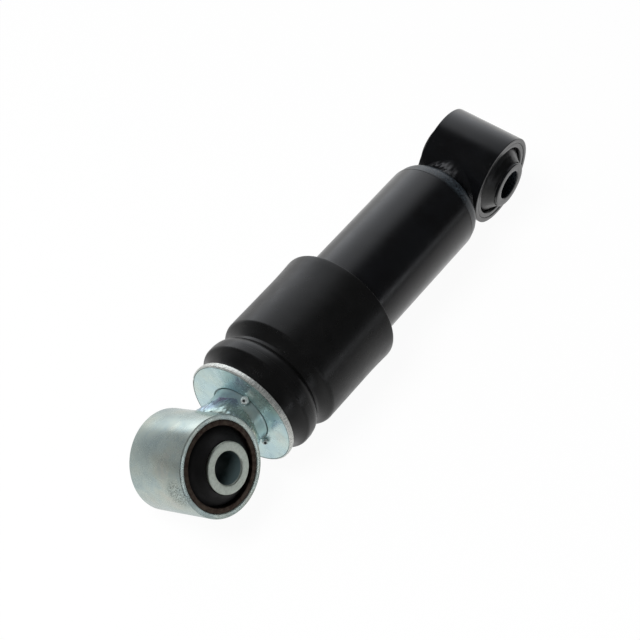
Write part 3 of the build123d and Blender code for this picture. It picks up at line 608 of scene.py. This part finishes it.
def eye_pieces(name, place, body, sleeve_body, finish, shell_finish, rubber_finish, face_finish,
               rubber_end):
    """The eye, its bush shell, rubber and sleeve about one bore.

    rubber_end has the corners of the rubber's end from the shell in to the sleeve.
    """
    def saw_cut(a, r, angle):
        """The ends of the cut tube aren't quite true."""
        x, y = r * cos(angle), r * sin(angle)
        return 0.0, -0.02 * abs(grain_noise(x, y, a, 6.0, seed=3.1))

    half = EYE_WIDTH / 2
    barrel = rounded([(-half, SHELL_R, 0.35), (-half, EYE_R, 0.25), (half, EYE_R, 0.25),
                      (half, SHELL_R, 0.35)], steps=5)
    eye = turned(f"{name}_eye_barrel", barrel, place, wave=saw_cut)
    dress(eye, body, f"{name}_eye", finish)

    half = SHELL_LENGTH / 2
    shell = rounded([(-half, SHELL_INNER_R + 0.3, 0.3), (-half, SHELL_R - 0.12, 0.2),
                     (-half + 0.4, SHELL_R, 0.1), (half - 0.4, SHELL_R, 0.1),
                     (half, SHELL_R - 0.12, 0.2), (half, SHELL_INNER_R + 0.3, 0.3),
                     (half - 0.9, SHELL_INNER_R, 0.2), (-half + 0.9, SHELL_INNER_R, 0.2)])
    ring = turned(f"{name}_bush_shell_ring", shell, place)
    dress(ring, body, f"{name}_bush_shell", shell_finish)

    rubber = rounded(rubber_end + [(-a, r, size) for a, r, size in reversed(rubber_end)], steps=5)
    cone = turned(f"{name}_bush_rubber_cone", rubber, place)
    dress(cone, body, f"{name}_bush_rubber", rubber_finish)

    half = SLEEVE_LENGTH / 2
    sleeve = rounded([(-half, SLEEVE_BORE_R, 0.6), (-half, SLEEVE_R, 0.35),
                      (half, SLEEVE_R, 0.35), (half, SLEEVE_BORE_R, 0.6)], steps=5)
    tube = turned(f"{name}_bush_sleeve_tube", sleeve, place)
    dress(tube, sleeve_body, f"{name}_bush_sleeve", face_finish)


# where the rubber meets the shell and the sleeve: a groove beside the tube eye's shell, and a
# plain shallow cone in the rod eye
at_shell, at_sleeve = SHELL_LENGTH / 2 - 2.4, SLEEVE_LENGTH / 2 - 0.5
grooved_end = [(at_shell, SHELL_INNER_R, 0.3), (at_shell, SHELL_INNER_R - 0.6, 0.3),
               (at_shell + 1.4, SHELL_INNER_R - 0.9, 0.4), (at_shell + 2.9, SLEEVE_R + 2.4, 1.5),
               (at_sleeve - 1.4, SLEEVE_R + 0.7, 0.8), (at_sleeve, SLEEVE_R + 0.05, 0.2)]
flat_end = [(at_shell + 0.7, SHELL_INNER_R, 0.3), (at_shell + 2.4, SLEEVE_R + 2.6, 4.0),
            (at_sleeve, SLEEVE_R + 0.05, 0.2)]
eye_pieces("tube", tube_eye_place, "cylinder", "tube_sleeve", enamel, enamel, painted_rubber,
           enamel_on_sleeve, grooved_end)
eye_pieces("rod", rod_eye_place, "rod", "rod_sleeve", zinc_barrel, primer, bush_rubber, cut_steel,
           flat_end)


# Tube, cap and boot

# the cap's crown is part of a sphere, and the ring of points at its pole is kept open by POLE_R
CROWN_R, CROWN_DEPTH, POLE_R = 15.6, 3.2, 0.02
SKIRT_END, SKIRT_INNER_R = CAP_SEAM + 3.0, TUBE_R - 3.4

sphere_r = (CROWN_R**2 + CROWN_DEPTH**2) / (2 * CROWN_DEPTH)
slope = asin(CROWN_R / sphere_r)
crown_slopes = [slope * k / 10 for k in range(11)]
crown = [(CAP_X + sphere_r - sphere_r * cos(t), max(sphere_r * sin(t), POLE_R), 0.0)
         for t in crown_slopes]
corner = curve_from((CAP_X + CROWN_DEPTH, CROWN_R), (sin(slope), cos(slope)),
                    (CAP_SEAM - 3.0, TUBE_R - 0.7), 10)[1:]
cap_profile = rounded(crown + corner + [
    (CAP_SEAM - 0.12, TUBE_R - 0.02, 0.05), (CAP_SEAM, TUBE_R - 0.2, 0.05),
    (CAP_SEAM, TUBE_R - TUBE_WALL, 0.0), (SKIRT_END, TUBE_R - TUBE_WALL, 0.0),
    (SKIRT_END, SKIRT_INNER_R, 0.0), (CAP_SEAM - 1.5, SKIRT_INNER_R, 0.0),
    (CAP_X + CROWN_DEPTH + 2.2, CROWN_R - 1.8, 1.5), (CAP_X + 2.6, POLE_R, 0.0)])
cap = turned("base_cap_pressing", cap_profile, along_x)
dress(cap, "cylinder", "base_cap", enamel_on_cap)

# the tube's end is rolled in over the seal, down to LIP_R
LIP_R = 11.5

tube_profile = rounded([
    (CAP_SEAM, TUBE_R - 0.2, 0.05), (CAP_SEAM + 0.12, TUBE_R, 0.05), (TUBE_END, TUBE_R, 2.4),
    (TUBE_END, LIP_R, 0.3), (TUBE_END - TUBE_WALL, LIP_R, 0.3),
    (TUBE_END - TUBE_WALL, TUBE_R - TUBE_WALL, 0.8), (CAP_SEAM, TUBE_R - TUBE_WALL, 0.0)],
    steps=6)
tube = turned("reservoir_tube_drawn", tube_profile, along_x)
dress(tube, "cylinder", "reservoir_tube", enamel)

# The boot's stations along X and its radii there, from its mouth to the plate. BOOT_HOLLOW is
# how far the wall between shoulder and groove sags below a straight cone.
MOUTH, FLARE_END, WALL_END, SHOULDER = 94.1, 108.1, 132.3, 134.3
GROOVE_START, GROOVE_END, RIDGE, BULGE_END, CREASE = 137.6, 138.9, 144.4, 146.75, 148.0
MOUTH_R, WALL_R, SHOULDER_R, GROOVE_R = 26.08, 25.65, 24.65, 21.9
RIDGE_R, BULGE_R, CREASE_R, END_R, ROD_HOLE_R = 24.68, 24.8, 24.4, 21.2, 9.05
BOOT_WALL, GROOVE_WALL, BOOT_HOLLOW = 2.1, 1.1, 0.45

# its outside from the plate to its mouth, then its inside back to the plate
hollow = [(SHOULDER + (GROOVE_START - SHOULDER) * t,
           SHOULDER_R - (SHOULDER_R - GROOVE_R) * t - 4 * BOOT_HOLLOW * t * (1 - t), 0.0)
          for t in (0.8, 0.6, 0.4, 0.2)]
boot_profile = rounded(
    [(PLATE_BACK, ROD_HOLE_R, 0.0), (PLATE_BACK, END_R, 0.5)]
    + curve_from((PLATE_BACK, END_R), (-1, 0), (CREASE, CREASE_R), 10)[1:-1]
    + [(CREASE, CREASE_R, 0.12)]
    + curve_from((BULGE_END, BULGE_R), (1, 0), (CREASE, CREASE_R), 6)[-2::-1]
    + [(RIDGE + 0.12, BULGE_R, 0.05), (RIDGE, RIDGE_R, 0.05)]
    + curve_from((RIDGE - 0.05, RIDGE_R), (-1, 0), (GROOVE_END, GROOVE_R + 0.05), 10)[:-1]
    + [(GROOVE_END, GROOVE_R, 0.3), (GROOVE_START, GROOVE_R, 0.3)] + hollow
    + [(SHOULDER, SHOULDER_R, 0.15)]
    + curve_from((WALL_END, WALL_R), (1, 0), (SHOULDER, SHOULDER_R), 6)[-2::-1]
    + curve_from((FLARE_END, WALL_R), (-1, 0), (MOUTH + 1.05, MOUTH_R), 6)
    + [(MOUTH + 0.1, MOUTH_R - 0.08, 0.3), (MOUTH, 24.5, 0.7), (MOUTH + 1.05, 24.0, 0.5),
       (FLARE_END, WALL_R - BOOT_WALL, 0.0), (WALL_END, WALL_R - BOOT_WALL, 0.0),
       (SHOULDER, SHOULDER_R - BOOT_WALL, 0.0),
       (GROOVE_START - GROOVE_WALL, GROOVE_R - GROOVE_WALL, 0.0),
       (GROOVE_END, GROOVE_R - GROOVE_WALL, 0.0), (RIDGE, BULGE_R - BOOT_WALL, 0.0),
       (BULGE_END, BULGE_R - BOOT_WALL, 0.0), (CREASE, CREASE_R - BOOT_WALL, 0.0),
       (PLATE_BACK - 2.0, END_R - BOOT_WALL, 0.0), (PLATE_BACK - 2.0, ROD_HOLE_R, 0.0)])


def soft_moulding(a, r, angle):
    """The boot's thin wall isn't quite round."""
    x, y = r * cos(angle), r * sin(angle)
    return 0.0, -0.12 * abs(grain_noise(x, y, a * 0.5, 22.0, seed=1.7))


boot = turned("dust_boot_moulding", boot_profile, along_x, wave=soft_moulding)
dress(boot, "rod", "dust_boot", boot_skin)


# Plate, hub and welds

# inside these radii the plate and the boss are hidden by the rod's end
PLATE_CORE_R, HUB_CORE_R = 6.0, 5.0
# depth of the seam between boss and plate, and the width of the rim that the press tore
SEAM_DEPTH, TORN_WIDTH = 0.4, 1.2


def sheared_rim(a, r, angle):
    """The blanked plate's rim: fine steps along its front edge and a few small nicks."""
    if r < PLATE_R - TORN_WIDTH:
        return 0.0, 0.0
    x, y = r * cos(angle), r * sin(angle)
    fine = grain_noise(x, y, a, 0.8, seed=5.2)
    nick = max(0.0, grain_noise(x, y, a * 0.4, 2.6, seed=8.4) - 0.42)
    return -0.05 * abs(fine) - 0.5 * nick, -0.04 * abs(fine) - 0.7 * nick


plate_profile = rounded([(PLATE_BACK, PLATE_CORE_R, 0.0), (PLATE_BACK, PLATE_R - 0.15, 0.3),
                         (PLATE_BACK + 1.0, PLATE_R, 0.2), (PLATE_FRONT - 0.35, PLATE_R, 0.35),
                         (PLATE_FRONT - 0.06, PLATE_R - 0.5, 0.15),
                         (PLATE_FRONT - 0.14, PLATE_R - 0.72, 0.06),
                         (PLATE_FRONT - 0.04, PLATE_R - 0.95, 0.15),
                         (PLATE_FRONT - 0.03, 16.0, 0.0), (PLATE_FRONT, HUB_R + 0.85, 0.1),
                         (PLATE_FRONT - SEAM_DEPTH, HUB_R + 0.65, 0.05),
                         (PLATE_FRONT - SEAM_DEPTH, PLATE_CORE_R, 0.0)])
plate = turned("cover_plate_blanked", plate_profile, along_x, steps=720, wave=sheared_rim)
dress(plate, "rod", "cover_plate", zinc_plate)


def on_barrel(radius, angle, turn, eye_x, side):
    """X of an eye's barrel where the circle of the given radius about X meets it."""
    off = radius * sin(angle - turn)
    return eye_x + side * sqrt(EYE_R**2 - off**2)


def saddle_ring(name, section, steps=480):
    """A closed ring about X whose cross section, given for each angle, follows an eye's barrel."""
    return closed_round(name, [section(2 * pi * k / steps) for k in range(steps)], along_x)


def hub_section(angle):
    """The boss from its base at the plate to its saddle on the rod eye."""
    base = PLATE_FRONT - SEAM_DEPTH + 0.02
    seat = on_barrel(HUB_R, angle, ROD_TURN, EYE_SPACING, -1)
    core_seat = on_barrel(HUB_CORE_R, angle, ROD_TURN, EYE_SPACING, -1)
    return [(base, HUB_CORE_R), (base, HUB_R + 0.05), (PLATE_FRONT + 0.05, HUB_R + 0.25),
            (PLATE_FRONT + 0.22, HUB_R + 0.22), (PLATE_FRONT + 0.6, HUB_R + 0.02),
            (PLATE_FRONT + 0.9, HUB_R), (seat, HUB_R), (core_seat, HUB_CORE_R)]


hub = saddle_ring("rod_hub_boss", hub_section)
dress(hub, "rod", "rod_hub", zinc_turned)


# X of the bead's edge on the boss, by angle in degrees: the bead runs well up the boss where the
# eye falls away from it, and stays short where the eye is nearest
BEAD_EDGE = [(-120, 161.5), (-60, 160.6), (-24, 160.1), (0, 161.2), (23, 161.9), (43, 161.6),
             (62, 161.0), (74, 160.4), (90, 159.1), (112, 160.8), (134, 164.0), (150, 167.5),
             (205, 167.5), (240, 161.5)]


def bead_edge(angle):
    """The bead's edge on the boss at an angle in degrees, with the uneven line of a hand weld."""
    first = BEAD_EDGE[0][0]
    angle = (angle - first) % 360 + first
    (a0, x0), (a1, x1) = next(pair for pair in zip(BEAD_EDGE, BEAD_EDGE[1:])
                              if pair[0][0] <= angle <= pair[1][0])
    x = x0 + (x1 - x0) * (1 - cos(pi * (angle - a0) / (a1 - a0))) / 2
    return x + 0.22 * ring_noise(radians(angle), 9, 5, 1.1, seed=6.1)


def bead_section(angle):
    """The weld bead in the corner between the boss and the rod eye.

    Its leg on the eye and its belly vary round it. On the belly lie the welder's ripples, one per
    pitch of seam, and the lumps of the plating, and its edge on the boss stands up torn.
    """
    pitch = 1.7
    leg = 1.7 + 0.9 * cos(angle - radians(10)) + 0.4 * ring_noise(angle, 9, 0, 4.0, seed=2.2)
    start = (bead_edge(angle * 180 / pi), HUB_R + 0.02)
    end = (on_barrel(HUB_R + leg, angle, ROD_TURN, EYE_SPACING, -1) + 0.05, HUB_R + leg)
    rise_a, rise_r = end[0] - start[0], end[1] - start[1]
    length = hypot(rise_a, rise_r)
    seam = angle * (HUB_R + 2)
    steps = 20
    row = []
    for k in range(steps + 1):
        t = k / steps
        across = 2 * t - 1
        belly = 0.16 * (leg + 1.0) * (1 - across**4)
        phase = 2 * pi * (seam / pitch + 0.6 * across**2)
        ripple = 0.05 * (1 - across**6) * sin(phase + 4.0 * grain_noise(seam, 0, 0, 3.0))
        lump = 0.16 * (1 - across**6) * grain_noise(seam, 5 * t, 0, 1.3, seed=3.3)
        torn = 0.34 * max(0.0, 1 - abs(t - 0.05) / 0.06) * (0.6 + grain_noise(seam, 0, 0, 0.9))
        out = belly + ripple + lump + torn
        row.append((start[0] + rise_a * t - out * rise_r / length,
                    start[1] + rise_r * t + out * rise_a / length))
    row.append((on_barrel(HUB_R, angle, ROD_TURN, EYE_SPACING, -1) + 0.5, HUB_R - 0.3))
    return row


bead = saddle_ring("rod_eye_weld_bead", bead_section, steps=720)
dress(bead, "rod", "rod_eye_weld", zinc_weld)


# radii of the weld between tube eye and cap: its toe on the eye, its waist, its toe on the cap
# and its hidden inside
EYE_TOE_R, WAIST_R, CAP_TOE_R, NECK_INNER_R = 13.4, 11.7, 14.3, 11.0
# the side of it where the photograph shows rough ripples
ROUGH_SIDE = radians(105)


def neck_section(angle):
    """The weld that joins the tube eye to the cap: a neck with a bead at the eye and a flare."""
    wobble = 0.5 * ring_noise(angle, 8, 0, 6.0, seed=4.4)
    toe = EYE_TOE_R + wobble
    eye_x = on_barrel(toe, angle, 0.0, 0.0, 1)
    row = [(eye_x - 0.15, toe)]
    cap_toe = CAP_TOE_R + 0.4 * ring_noise(angle, 8, 9, 5.0, seed=7.0)
    cap_x = CAP_X + sphere_r - sqrt(sphere_r**2 - cap_toe**2)
    start = Vector((eye_x, toe))
    middle = Vector(((eye_x + cap_x) / 2, WAIST_R + 0.3 * wobble))
    end = Vector((cap_x + 0.1, cap_toe))
    rough_side = max(0.0, cos(angle - ROUGH_SIDE))**2
    seam = angle * (EYE_TOE_R - 0.4)
    for k in range(1, 11):
        t = k / 10
        p = start * (1 - t) ** 2 + middle * 2 * t * (1 - t) + end * t**2
        ripple = 0.40 * rough_side * sin(pi * t) * grain_noise(seam, 5 * t, 0, 1.7, seed=9.3)
        row.append((p.x, p.y + ripple))
    return row + [(end.x + 0.4, NECK_INNER_R), (eye_x - 0.6, NECK_INNER_R)]


neck = saddle_ring("tube_eye_weld_neck", neck_section)
dress(neck, "cylinder", "tube_eye_weld", enamel_on_weld)


def tack(name, node, angle_deg, size, pit, lift, reach, lean=0.0):
    """A small tack weld in the corner of boss and plate: a lumpy ball with a shrunk middle.

    Its middle lies lift in front of the plate and reach outside the boss, in mm. pit is the depth
    of the dent in its top, as a share of its size, and lean tips that top upwards.
    """
    steps, rings, dent_angle = 40, 14, 0.62
    across, up = cos(radians(angle_deg)), sin(radians(angle_deg))
    points, faces = [], []
    for ring in range(1, rings + 1):
        fall = pi * ring / (rings + 1)
        dent = 1 - pit * max(0.0, 1 - fall / dent_angle) ** 0.8
        for k in range(steps):
            turn = 2 * pi * k / steps
            d = Vector((sin(fall) * cos(turn), sin(fall) * sin(turn), cos(fall)))
            lump = 1 + 0.07 * grain_noise(d.x, d.y, d.z, 0.45, seed=angle_deg)
            points.append(d * size * lump * dent)
    points += [Vector((0, 0, size * (1 - pit))), Vector((0, 0, -size))]
    for ring in range(rings - 1):
        for k in range(steps):
            m = (k + 1) % steps
            faces.append((ring * steps + k, (ring + 1) * steps + k,
                          (ring + 1) * steps + m, ring * steps + m))
    top, bottom = rings * steps, rings * steps + 1
    last = (rings - 1) * steps
    for k in range(steps):
        m = (k + 1) % steps
        faces += [(top, k, m), (last + k, bottom, last + m)]
    # its own Z points out of the corner
    middle = (PLATE_FRONT + lift, (HUB_R + reach) * across, (HUB_R + reach) * up)
    out = Vector((1, across, up + lean))
    made = mesh_object(name, points, faces, placed(middle, out, out.cross((1, 0, 0))), 50)
    dress(made, "rod", node, zinc_tack)


tack("tack_bead_1", "tack_weld_1", 74.7, size=1.6, pit=0.7, lift=1.4, reach=1.1)
tack("tack_bead_2", "tack_weld_2", 201.0, size=1.4, pit=0.25, lift=0.7, reach=0.7)
tack("tack_bead_3", "tack_weld_3", 327.5, size=1.35, pit=0.6, lift=0.5, reach=1.85, lean=0.9)


# The inner pieces keep their solids and get their own metals, rubbers and plastics

inner = {
    oiled_steel: ("pressure_tube", "base_valve_shim_1", "base_valve_shim_2", "base_valve_stop",
                  "base_valve_bolt", "base_valve_nut", "base_intake_plate", "rebound_shim_1",
                  "rebound_shim_2", "rebound_shim_3", "piston_nut", "piston_intake_plate",
                  "piston_stop", "rebound_stop", "seal_cover"),
    sintered: ("base_valve_body", "rod_guide", "piston"),
    bronze: ("guide_bush",),
    seal_rubber: ("guide_seal_ring", "rod_seal"),
    hard_chrome: ("piston_rod",),
    band_plastic: ("piston_band",),
    buffer_rubber: ("rebound_buffer", "bump_stop"),
    zinc: ("boot_retainer",),
}
for finish, names in inner.items():
    for node_name in names:
        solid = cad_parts[node_name]
        solid.data.materials.clear()
        solid.data.materials.append(finish)
